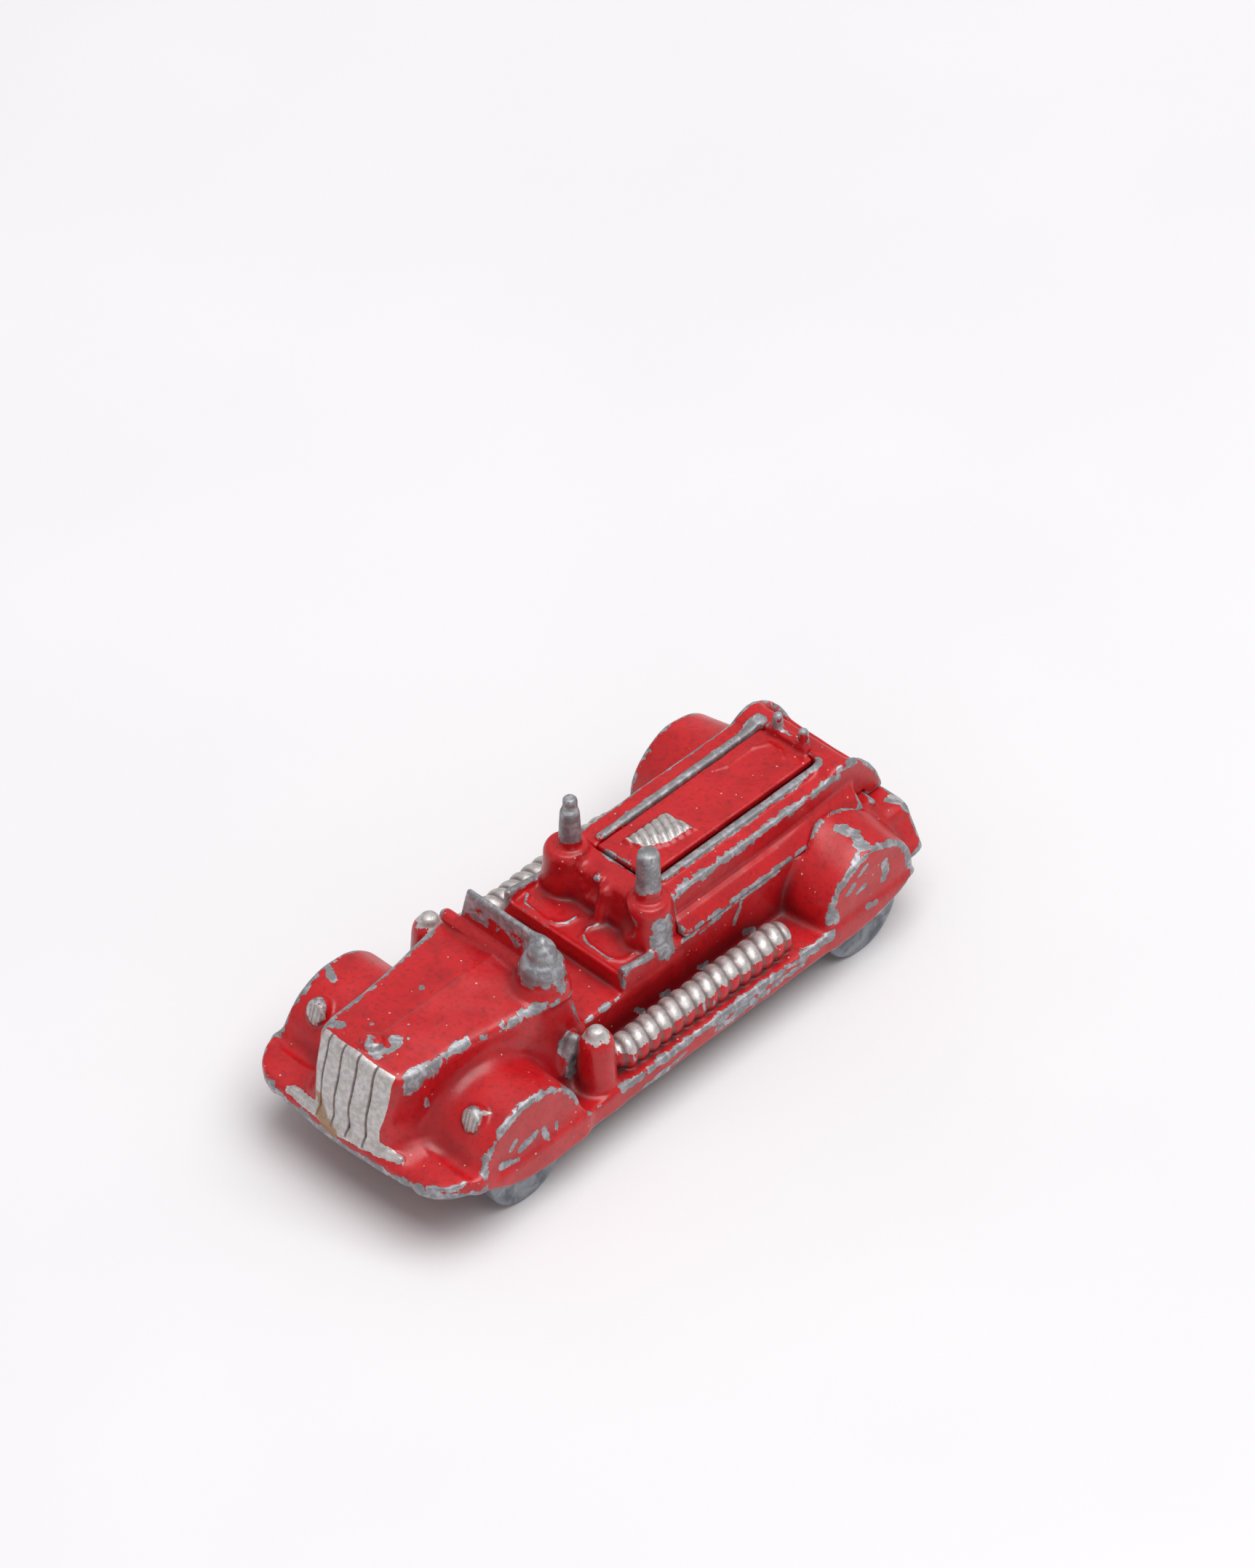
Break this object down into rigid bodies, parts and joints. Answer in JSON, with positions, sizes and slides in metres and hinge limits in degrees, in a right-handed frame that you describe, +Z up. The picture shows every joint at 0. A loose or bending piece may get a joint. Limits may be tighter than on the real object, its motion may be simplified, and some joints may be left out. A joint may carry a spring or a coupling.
{
  "type": "die-cast pocket fire engine",
  "caption": "Open-cab pocket fire engine cast in zinc, with a windscreen, bell, hoses, ladder pegs, a rear deck and free-rolling disc wheels inside full wings.",
  "frame": {"origin": "on the ground under the middle of the model", "axes": "-Y is the way the bonnet points, +X is the vehicle's left, +Z is up"},
  "size_m": [0.0242, 0.0602, 0.0212],
  "materials": {
    "body_paint": "red enamel over cast zinc, chipped to bare metal on the raised edges, with silver trim",
    "base_metal": "dull pressed sheet, unpainted",
    "axle_steel": "plain steel wire",
    "wheel_zinc": "bare cast zinc, dulled and scuffed"
  },
  "bodies": {
    "body": {"body_casting": "body_paint", "rear_body": "body_paint", "deck_panel": "body_paint", "base_plate": "base_metal", "front_axle": "axle_steel", "rear_axle": "axle_steel"},
    "front_left_wheel": {"front_left_wheel": "wheel_zinc"},
    "front_right_wheel": {"front_right_wheel": "wheel_zinc"},
    "rear_left_wheel": {"rear_left_wheel": "wheel_zinc"},
    "rear_right_wheel": {"rear_right_wheel": "wheel_zinc"}
  },
  "joints": [
    {"name": "front_left_wheel_spin", "type": "hinge", "parent": "body", "child": "front_left_wheel", "pos_m": [0, -0.0194, 0.0043], "axis": [1, 0, 0], "continuous": true},
    {"name": "front_right_wheel_spin", "type": "hinge", "parent": "body", "child": "front_right_wheel", "pos_m": [0, -0.0194, 0.0043], "axis": [1, 0, 0], "continuous": true},
    {"name": "rear_left_wheel_spin", "type": "hinge", "parent": "body", "child": "rear_left_wheel", "pos_m": [0, 0.0216, 0.0043], "axis": [1, 0, 0], "continuous": true},
    {"name": "rear_right_wheel_spin", "type": "hinge", "parent": "body", "child": "rear_right_wheel", "pos_m": [0, 0.0216, 0.0043], "axis": [1, 0, 0], "continuous": true}
  ]
}
